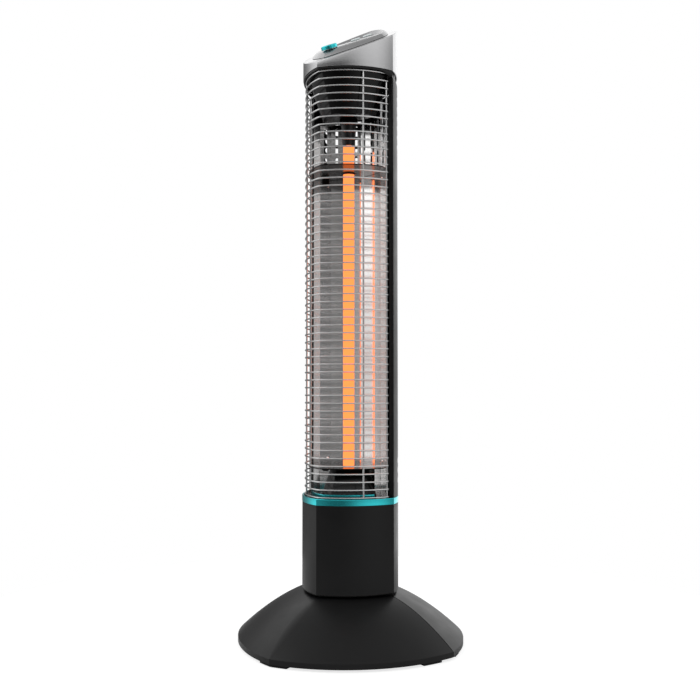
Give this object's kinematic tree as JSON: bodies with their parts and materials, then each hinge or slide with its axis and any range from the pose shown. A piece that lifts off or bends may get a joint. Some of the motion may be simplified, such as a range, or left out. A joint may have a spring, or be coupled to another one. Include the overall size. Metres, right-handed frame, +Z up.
{
  "type": "infrared patio heater tower",
  "caption": "Free-standing radiant heater: a vertical quartz lamp and folded reflector behind a wire grille, on a swivelling column and domed base with a sloping control top.",
  "frame": {"origin": "middle of the base on the floor, under the swivel axis", "axes": "+Z up along the tower, -Y towards the front corner between the two grille sides"},
  "size_m": [0.3164, 0.3166, 0.8333],
  "materials": {
    "black_plastic": "satin black moulded shells",
    "black_steel": "heat-resistant black paint",
    "foot_rubber": "soft black rubber",
    "ballast_iron": "as cast",
    "steel": "plated",
    "grille_wire": "bright plated wire",
    "reflector_sheet": "polished sheet",
    "silver_cap": "satin silver paint",
    "grey_panel": "satin grey",
    "teal_trim": "glossy teal",
    "pale_button": "pale translucent teal",
    "lamp_ceramic": "dark glazed ceramic and steel",
    "quartz": "quartz tube, lit",
    "carbon": "carbon strand, glowing",
    "circuit_board": "green board with parts"
  },
  "bodies": {
    "base": {"base_front_shell": "black_plastic", "base_rear_shell": "black_plastic", "base_plate": "black_steel", "foot_front": "foot_rubber", "foot_right_front": "foot_rubber", "foot_right_rear": "foot_rubber", "foot_back": "foot_rubber", "foot_left_rear": "foot_rubber", "foot_left_front": "foot_rubber", "ballast": "ballast_iron", "base_hub": "black_plastic", "oscillation_motor": "steel", "tip_switch": "grey_panel", "terminal_block": "grey_panel", "cable_gland": "foot_rubber", "base_screw_1": "steel", "base_screw_2": "steel", "base_screw_3": "steel", "base_screw_4": "steel"},
    "tower": {"turntable": "black_plastic", "column_shell": "black_plastic", "rear_housing": "black_plastic", "top_frame": "black_plastic", "rotary_switch": "black_plastic", "column_floor": "black_steel", "chamber_floor": "black_steel", "divider_plate": "black_steel", "lower_plate": "black_steel", "lower_hood": "black_steel", "upper_hood": "black_steel", "wiring_conduit": "foot_rubber", "housing_screw_1": "steel", "housing_screw_2": "steel", "housing_screw_3": "steel", "housing_screw_4": "steel", "reflector_rail_left": "steel", "reflector_rail_right": "steel", "grille": "grille_wire", "main_reflector": "reflector_sheet", "upper_reflector": "reflector_sheet", "cap_shell": "silver_cap", "control_pod": "grey_panel", "collar": "teal_trim", "collar_lip": "teal_trim", "upper_lamp_holder": "lamp_ceramic", "lower_lamp_holder": "lamp_ceramic", "thermal_cutoff": "lamp_ceramic", "quartz_tube": "quartz", "filament": "carbon", "power_board": "circuit_board", "control_board": "circuit_board"},
    "knob": {"knob": "teal_trim", "knob_shaft": "steel"},
    "button_1": {"button_1": "pale_button"},
    "button_2": {"button_2": "pale_button"}
  },
  "joints": [
    {"name": "oscillation", "type": "hinge", "parent": "base", "child": "tower", "pos_m": [0, 0, 0.0649], "axis": [0, 0, 1], "range_deg": [-35, 35]},
    {"name": "knob_turn", "type": "hinge", "parent": "tower", "child": "knob", "pos_m": [0, -0.044, 0.77667], "axis": [0, -0.4557, 0.8901], "range_deg": [0, 270]},
    {"name": "button_1_press", "type": "slide", "parent": "tower", "child": "button_1", "axis": [0, -0.4557, 0.8901], "range_m": [-0.0012, 0], "stiffness_N_per_m": 300},
    {"name": "button_2_press", "type": "slide", "parent": "tower", "child": "button_2", "axis": [0, -0.4557, 0.8901], "range_m": [-0.0012, 0], "stiffness_N_per_m": 300}
  ]
}
